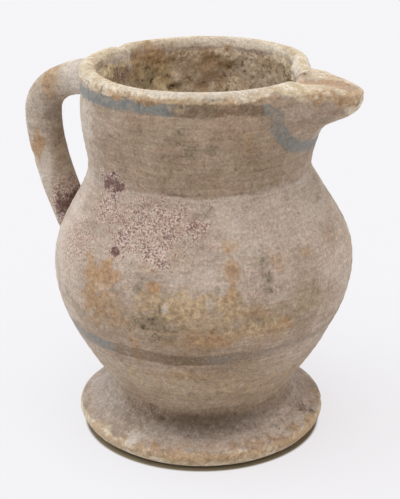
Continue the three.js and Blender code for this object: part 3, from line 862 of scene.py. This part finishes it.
# painted shade: a soft dark line along the crease where the neck meets the belly
neck_dirt = 0.5 * bell(neck_z - CREASE_HEIGHT - 0.5, 1.1) * (0.6 + 0.4 * lumps(neck_places, 18, 64))
neck_marks = weather(
    neck_places, BODY_STAINS,
    band=upper_bands(neck_places, neck_wander) * ~neck_in,
    rust=upper_rust(neck_places),
    tan=scuffed(neck_angle, neck_z, neck_wander) * (1 - neck_crust),
    crust=np.maximum(neck_crust, 0.55 * scab),
    dirt=neck_dirt * ~neck_in,
    # painted shade over the neck's front
    worn=neck_painted_shade(neck_places) * (1 - neck_crust),
)
# a painted highlight on the top of the clay ball inside the mouth, and a painted shadow just under it
ball_painted_highlight = 0.85 * bell(from_ball, 3.2) * bell(neck_z - BALL_HEIGHT - 0.8, 2.6) * neck_in
ball_painted_shadow = 1.2 * bell(from_ball, 4.5) * bell(neck_z - BALL_HEIGHT + 3.6, 1.6) * neck_in
neck_marks["pale_and_painted_light"] = np.maximum(neck_marks["pale_and_painted_light"], ball_painted_highlight)
neck_marks["grey"] = np.maximum(neck_marks["grey"], ball_painted_shadow)
neck_slip = weathered_slip("slip_on_neck", *SLIP_COLORS)
neck = skin("neck_collar", neck_places, neck_marks, neck_slip, ring=True)
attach(neck, "root")
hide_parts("neck")

# The spout
# A solid beak of clay, pressed on to the lip and drawn out between finger and thumb. A shallow
# trough runs along its top, and wet fingers smoothed its root into the neck.
TROUGH_HALF_WIDTH = 9.5
TROUGH_DEPTH = 2.2
TROUGH_FILLET = 3.5
SPOUT_COVER = 46
SPOUT_SINK = 0.8
SPOUT_RIM_SINK = 1.2
SPOUT_CORE_HEIGHT = 199.0
SPOUT_STAINS = {
    "ochre": [(-7, 203, 14, 4.5, 0.85), (-1, 206, 9, 3, 0.8)],
    "cream": [(-3, 199, 5, 5, 0.5)],
    "umber": [(12, 206, 6, 3, 0.55)],
    "grey": [(9.5, 206, 2.6, 2, 0.9), (-2, 200, 2.5, 1.5, 0.9)],
    "pale_and_painted_light": [(-20, 197, 9, 9, 0.45), (3, 206, 20, 3, 0.35)],
}


def trough_gauge(places):
    """Below 0 inside the finger's groove: an elliptic tube along the beak, which gets narrower
    outwards and runs out on the beak's top before the tip."""
    x, y, z = np.moveaxis(places, -1, 0)
    narrow = 1 - 0.6 * ease(56, 84, x)
    tall = 4 + TROUGH_DEPTH * (1 - 1.1 * ease(58, 84, x))
    return np.hypot(y / (TROUGH_HALF_WIDTH * narrow), (z - beak_top(x) - 4) / tall) - 1


def beaked(places):
    """Distance to the skin of the lip and the beak together, with fillets between them."""
    fillet = SPOUT_FILLET * (1 - 0.8 * ease(201, 208.5, places[..., 2]))
    both = -merged(-neck_solid(places), -beak_solid(places), fillet)
    return merged(both, -to_skin(trough_gauge, places), TROUGH_FILLET)


def skin_along(start, heading, solid, reach, steps):
    """Places where rays from inside a solid come out of it, found in even steps and then by
    proportion between the last step inside and the first one outside."""
    ray = np.linspace(0, reach, steps)
    values = solid(start[..., None, :] + ray[:, None] * heading[..., None, :])
    first = np.maximum(np.argmax(values > 0, axis=-1), 1)[..., None]
    inside = np.take_along_axis(values, first - 1, axis=-1)[..., 0]
    outside = np.take_along_axis(values, first, axis=-1)[..., 0]
    length = ray[first[..., 0] - 1] + ray[1] * inside / (inside - outside)
    return start + length[..., None] * heading


lift_angles = np.radians(np.concatenate([
    np.linspace(-80, -22, 44, endpoint=False),
    np.linspace(-22, 24, 116, endpoint=False),
    np.linspace(24, 90, 44, endpoint=False),
    np.linspace(90, 215, 50),
]))
sweep = np.linspace(-1, 1, 181)
turn_angles = np.radians(SPOUT_COVER * sweep * (0.45 + 0.55 * sweep ** 2))[:, None]
side = points(np.cos(turn_angles), np.sin(turn_angles), 0)


def aimed(lift):
    """Headings at lift angles above the level, in every upright plane that the cover crosses."""
    return np.cos(lift)[None, :, None] * side + np.sin(lift)[None, :, None] * np.array([0, 0, 1.0])


# the cover is found by rays from inside the lip, and its edges sink just under the neck's skin
core = LIP_RADIUS * side + np.array([0, 0, SPOUT_CORE_HEIGHT])
front = skin_along(core, aimed(lift_angles), beaked, reach=48, steps=66)
past_beak = ease(0.85, 1.5, beak_solid(front) / SPOUT_FILLET)
sunk = SPOUT_SINK * np.maximum(past_beak, ease(6.5, 12, beside_beak(front)))
sunk = np.maximum(sunk, SPOUT_RIM_SINK * ease(0.93, 1.0, np.abs(sweep))[:, None])
front = front - sunk[..., None] * aimed(np.maximum(lift_angles, 0))
tail = core + 1.5 * aimed(np.radians(np.linspace(228, 268, 5)))
spout_plain = np.concatenate([front, tail], axis=1)
spout_x, spout_y, _ = np.moveaxis(spout_plain, -1, 0)
spout_radius, spout_angle, spout_z = polar(spout_plain)
spout_free = ease(62, 72, spout_radius)
on_top = ease(200.5, 203.5, spout_z)
rub = 0.3 * lumps(spout_plain, 17, 71) + 0.35 * crusty(spout_plain) * on_top
rub = np.minimum((rub - 0.25) * spout_free, 0)
spout_in = (spout_radius < LIP_RADIUS) & (spout_z < RIM_HEIGHT - 3)
spout_crust = crusted_inside(spout_plain, spout_in)
spout_places = worked(spout_plain, rub + np.where(spout_in, inside_relief(spout_plain, spout_crust), 0))
spout_places[..., 2] = np.minimum(spout_places[..., 2], RIM_HEIGHT)

# dirt lies in a small hole where the beak leaves the lip, and in a scratch beside the trough
in_trough = fade(4, 9, np.abs(spout_y)) * on_top * ease(54, 60, spout_radius)
spout_wander = edge_wander(spout_places)
spout_crest = scuffed(spout_angle, spout_z, spout_wander, spout_free) * (1 - spout_crust)
scratch_y = -5 + 1.2 * np.sin(0.9 * spout_x)
soiled = 0.7 * bell(np.hypot(spout_x - 57, spout_y - 9), 2.2)
soiled = soiled + 0.8 * bell(spout_y - scratch_y, 0.7) * bell(spout_x - 66, 5)
spout_marks = weather(
    spout_places, {mark: NECK_STAINS[mark] + SPOUT_STAINS[mark] for mark in SPOUT_STAINS},
    band=upper_bands(spout_places, spout_wander) * (spout_z < 207 - 4 * spout_free) * ~spout_in,
    rust=upper_rust(spout_places),
    # the neck's painted shade carries on over the beak's root
    worn=neck_painted_shade(spout_places) * (1 - spout_crust),
    tan=np.maximum(spout_crest * (1 - 0.75 * in_trough), 0.8 * ease(84, 92, spout_radius)),
    crust=spout_crust,
    dirt=soiled * on_top,
)
streak = in_trough * ease(62, 72, spout_radius) * fade(80, 90, spout_radius)
spout_marks["ochre"] = np.maximum(spout_marks["ochre"], 0.8 * streak)
spout_slip = weathered_slip("slip_on_spout", *SLIP_COLORS)
spout = skin("spout_beak", spout_places, spout_marks, spout_slip)
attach(spout, "root")
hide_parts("spout")

# The handle
# One pulled strap with soft corners. Its upper end was pushed on just under the lip, and its
# lower end was spread on the belly with the thumb; both joints were smoothed over with slip.
HANDLE_THICKNESS = 18.4
HANDLE_WIDTH = 20
HANDLE_GAP = 28.2
HANDLE_TOP = 193.9
HANDLE_TURN = 169.3
HANDLE_LANDING = 100.0
HANDLE_FILLET = 6.0
HANDLE_CEILING = 204.2


def handle_line(steps):
    """The strap's centre line in the plane of the beak, as rows of (radius, height): out from
    the neck, round and down, and in to the belly."""
    reach = NECK_WIDEST + HANDLE_GAP + HANDLE_THICKNESS / 2
    seat = belly_radius(HANDLE_LANDING)
    start = (NECK_WIDEST - 3.5, HANDLE_TOP)
    turn = (reach, HANDLE_TURN)
    end = (seat - 3.5, HANDLE_LANDING)
    drop = HANDLE_TOP - HANDLE_TURN
    fall = HANDLE_TURN - HANDLE_LANDING
    crown = (NECK_WIDEST + 0.7 * HANDLE_GAP, HANDLE_TOP)
    shoulder = (reach, HANDLE_TURN + 0.57 * drop)
    back = (reach, HANDLE_TURN - 0.33 * fall)
    heel = (seat + 7, HANDLE_LANDING + 0.27 * fall)
    t = np.linspace(0, 1, steps // 2 + 1)[:, None]
    upper = cubic(start, crown, shoulder, turn, t)
    lower = cubic(turn, back, heel, end, t)
    return np.concatenate([upper[:-1], lower])


def handle_grid(rows, columns):
    """Rings along the centre line, evenly spaced, which goes on straight inside both walls. Each
    is a rounded square; it flares at the neck, and is pressed wide and thin at the belly."""
    line = handle_line(400)
    run = np.concatenate([[0], np.cumsum(np.linalg.norm(np.diff(line, axis=0), axis=1))])
    s = np.linspace(-13, run[-1] + 12, rows)
    first = (line[1] - line[0]) / np.linalg.norm(line[1] - line[0])
    last = (line[-1] - line[-2]) / np.linalg.norm(line[-1] - line[-2])
    centre = points(np.interp(s, run, line[:, 0]), np.interp(s, run, line[:, 1]))
    centre += np.minimum(s, 0)[:, None] * first + np.maximum(s - run[-1], 0)[:, None] * last
    along = np.gradient(centre, axis=0)
    along /= np.linalg.norm(along, axis=1)[:, None]
    t = np.clip(s / run[-1], 0, 1)
    flare_out = 0.25 * bell(t, 0.1) - 0.04 * np.minimum(s, 0)
    landed = bell(1 - t, 0.16)
    spread = 0.05 * np.maximum(s - run[-1], 0)
    half_thick = HANDLE_THICKNESS / 2 * (1 + flare_out - 0.35 * landed + 1.2 * spread)
    half_wide = HANDLE_WIDTH / 2 * (1 + flare_out + 0.4 * landed + spread)
    turn = np.linspace(0, 2 * np.pi, columns, endpoint=False)[None, :]
    across = half_thick[:, None] * np.sign(np.cos(turn)) * np.abs(np.cos(turn)) ** 0.78
    aside = half_wide[:, None] * np.sign(np.sin(turn)) * np.abs(np.sin(turn)) ** 0.78
    radius = centre[:, :1] - along[:, 1:] * across
    z = centre[:, 1:] + along[:, :1] * across
    z = -merged(-z, -HANDLE_CEILING * np.ones_like(z), 5)
    return points(-radius, aside, z)


def seated(places, wall, fillet):
    """Places of a piece that is luted on a wall. Those inside the wall are carried out to its
    skin with a fillet, and those deep inside end just under it, so that no edge shows."""
    radius, _, _ = polar(places)
    sink = ease(0.75 * fillet, 1.2 * fillet, wall - radius)
    return pushed(places, merged(radius, wall, fillet) - sink - radius)


handle_plain = handle_grid(rows=210, columns=88)
handle_radius, handle_angle, handle_z = polar(handle_plain)
neck_wall = radius_at(handle_z, neck_side) + squeeze(handle_angle, handle_z)
on_wall = np.where(handle_z > 154, neck_wall, belly_radius(handle_z))
foot_of_ray = pushed(handle_plain, on_wall - handle_radius)
handle_places = seated(handle_plain, on_wall + handmade(foot_of_ray), HANDLE_FILLET)
handle_radius, _, handle_z = polar(handle_places)
handle_free = ease(1, 9, handle_radius - on_wall)
handle_lift = 0.3 * lumps(handle_places, 30, 81) + 0.12 * lumps(handle_places, 9, 82)
handle_lift = handle_lift + 0.05 * lumps(handle_places, 3, 83)
handle_places = pushed(handle_places, handle_free * np.minimum(handle_lift, 0.05))
chip = 0.9 * bell(np.hypot(handle_places[..., 1] + 8, handle_z - 143), 2.2)
handle_places = pushed(handle_places, -chip * handle_free)
handle_y = handle_places[..., 1]
handle_marks = weather(
    handle_places, {},
    tan=0.3 * ease(0.2, 1.0, lumps(handle_places, 22, 84)) * handle_free,
    # painted shade, with some dirt, darkens the strap's inner side, which faces the neck
    worn=bell(handle_z - 158, 30) * fade(90, 98, handle_radius) * handle_free,
    dirt=0.45 * bell(handle_z - 162, 22) * fade(88, 96, handle_radius) * handle_free,
)

# an orange patch outside, pale and ochre soil on the crown, and a dark patch low down inside, of bare
# reddish clay darkened further with painted shade
patch_edge = 2.5 * lumps(handle_places, 7, 85)
low_z = handle_z + 0.6 * patch_edge
near_side = fade(6, 11, handle_y)
orange = np.hypot(np.hypot((handle_y + 8) / 4.5, (handle_radius - 102.5) / 5), (handle_z - 148.5) / 12)
handle_marks["ochre"] = np.maximum(
    1.15 * fade(0.5, 1.4, orange + 0.1 * patch_edge),
    0.7 * bell(handle_z - 189 + patch_edge, 10) * bell(handle_radius - 93, 10) * ease(-8, 2, -handle_y),
)
handle_marks["cream"] = 0.9 * bell(handle_z - 196 + patch_edge, 7) * bell(handle_radius - 91, 9)
# painted shade over the low dark patch on the strap's inner side
handle_marks["dirt"] = np.maximum(
    handle_marks["dirt"],
    0.4 * bell(low_z - 117, 10) * fade(87, 92, handle_radius) * near_side,
)
handle_marks["umber"] = 1.3 * bell(low_z - 118, 11) * fade(88, 94, handle_radius) * near_side
handle_marks["grey"] = 0.25 * bell(handle_z - 172, 12)
handle_marks["pale_and_painted_light"] = np.maximum(
    1.2 * bell(handle_z - 196 + patch_edge, 10) * bell(handle_radius - 77, 10),
    0.75 * bell(handle_z - 134 + patch_edge, 12) * ease(89, 95, handle_radius),
)
handle_slip = weathered_slip("slip_on_handle", "#c9bbac", "#b3a190", "#bdab9b")
handle = skin("handle_strap", handle_places, handle_marks, handle_slip)
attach(handle, "root")
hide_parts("handle")

# The floor
# A wide sheet of matt white paper that the pitcher stands on. To the camera it also glows, as
# overexposed paper does, but not in the tight shadow under the foot's overhang, where a disc of
# the paper is painted dark brown to the camera: a painted shadow.
FLOOR_HALF = 3.0
FLOOR_HEIGHT = -0.00005
FLOOR_GLOW = 0.7
SHADOW_RADIUS = 0.0673
SHADOW_PLACE = (0.0007, -0.0014, 0)
floor_mesh = bpy.data.meshes.new("floor")
floor_signs = ((-1, -1), (1, -1), (1, 1), (-1, 1))
floor_corners = [(x * FLOOR_HALF, y * FLOOR_HALF, FLOOR_HEIGHT) for x, y in floor_signs]
floor_mesh.from_pydata(floor_corners, [], [(0, 1, 2, 3)])
floor = placed("floor", floor_mesh)
paper = bpy.data.materials.new("white_paper")
paper.use_nodes = True
paper_tree = paper.node_tree
paper_tree.nodes.clear()
paper_place = add(paper_tree, "TexCoord").outputs["Object"]
paper_reach = add(paper_tree, "VectorMath", {
    0: paper_place, 1: SHADOW_PLACE,
}, operation="DISTANCE").outputs["Value"]
paper_clear = add(paper_tree, "MapRange", {
    "Value": paper_reach, "From Min": SHADOW_RADIUS - 0.001, "From Max": SHADOW_RADIUS + 0.001,
}, interpolation_type="SMOOTHSTEP").outputs["Result"]
paper_seen = add(paper_tree, "LightPath").outputs["Is Camera Ray"]
paper_glow = add(paper_tree, "Math", {
    0: paper_clear, 1: FLOOR_GLOW,
}, operation="MULTIPLY").outputs[0]
# painted shadow: inside the disc the paper's colour turns dark brown
paper_tint = add(paper_tree, "Mix", {
    0: paper_clear, 6: (0.245, 0.2, 0.13, 1), 7: (0.16, 0.16, 0.16, 1),
}, data_type="RGBA").outputs[2]
paper_lit = add(paper_tree, "BsdfDiffuse", {"Color": (0.78, 0.78, 0.79, 1)}).outputs["BSDF"]
paper_dim = add(paper_tree, "BsdfDiffuse", {"Color": paper_tint}).outputs["BSDF"]
paper_emits = add(paper_tree, "Emission", {
    "Color": (1, 0.98, 1, 1), "Strength": paper_glow,
}).outputs[0]
paper_both = add(paper_tree, "AddShader", {0: paper_dim, 1: paper_emits}).outputs[0]
paper_mix = add(paper_tree, "MixShader", {0: paper_seen, 1: paper_lit, 2: paper_both}).outputs[0]
add(paper_tree, "OutputMaterial", {"Surface": paper_mix})
floor_mesh.materials.append(paper)

# The light
# A white tent: even light from all round, as white to the camera as the paper, a broad soft light
# from above, and a weaker one on each side, the left one a little blue. A light's direction is an
# angle from +X and a height, in degrees; its power and its softness in degrees follow, and its
# colour.
TENT_GLOW = 0.6
TENT_GLOW_TO_CAMERA = 0.32
LIGHTS = {
    "above": (-110, 76, 2.0, 60, "#ffffff"),
    "left": (-165, 24, 1.25, 80, "#c6e6ff"),
    "right": (22, 24, 0.4, 80, "#ffffff"),
}
world = bpy.data.worlds.new("tent")
bpy.context.scene.world = world
world.use_nodes = True
sky = world.node_tree
sky.nodes.clear()
tent_seen = add(sky, "LightPath").outputs["Is Camera Ray"]
tent_glow = add(sky, "Math", {
    0: tent_seen, 1: TENT_GLOW_TO_CAMERA, 2: TENT_GLOW,
}, operation="MULTIPLY_ADD").outputs[0]
tent = add(sky, "Background", {"Color": linear("#ffffff"), "Strength": tent_glow})
add(sky, "OutputWorld", {"Surface": tent.outputs[0]})
for light_name, (direction, elevation, energy, softness, hue) in LIGHTS.items():
    light_data = bpy.data.lights.new(light_name, "SUN")
    light_data.color = linear(hue)[:3]
    light_data.energy = energy
    light_data.angle = math.radians(softness)
    light = placed(light_name, light_data)
    light.rotation_euler = (math.radians(90 - elevation), 0, math.radians(direction + 90))
    light.location = (0, 0, 1)

# The camera
# It stands 28 degrees from square on to the side of the pot, towards the beak, and looks down.
# Lengths are in metres, and angles in degrees.
CAMERA_AZIMUTH = 28
CAMERA_PITCH = 21.712
CAMERA_REACH = 0.78739
CAMERA_HEIGHT = 0.41575
CAMERA_LENS = 109.20
CAMERA_SHIFT = -1.9 / 499
CAMERA_FILM = 36
camera_data = bpy.data.cameras.new("camera")
camera_data.lens = CAMERA_LENS
camera_data.sensor_width = CAMERA_FILM
camera_data.shift_x = CAMERA_SHIFT
camera_data.clip_end = 20
camera = placed("camera", camera_data)
camera_side = math.radians(CAMERA_AZIMUTH)
camera_x = CAMERA_REACH * math.sin(camera_side)
camera_y = -CAMERA_REACH * math.cos(camera_side)
camera.location = (camera_x, camera_y, CAMERA_HEIGHT)
camera.rotation_euler = (math.radians(90 - CAMERA_PITCH), 0, camera_side)
bpy.context.scene.camera = camera

bpy.context.scene.view_settings.view_transform = "Standard"
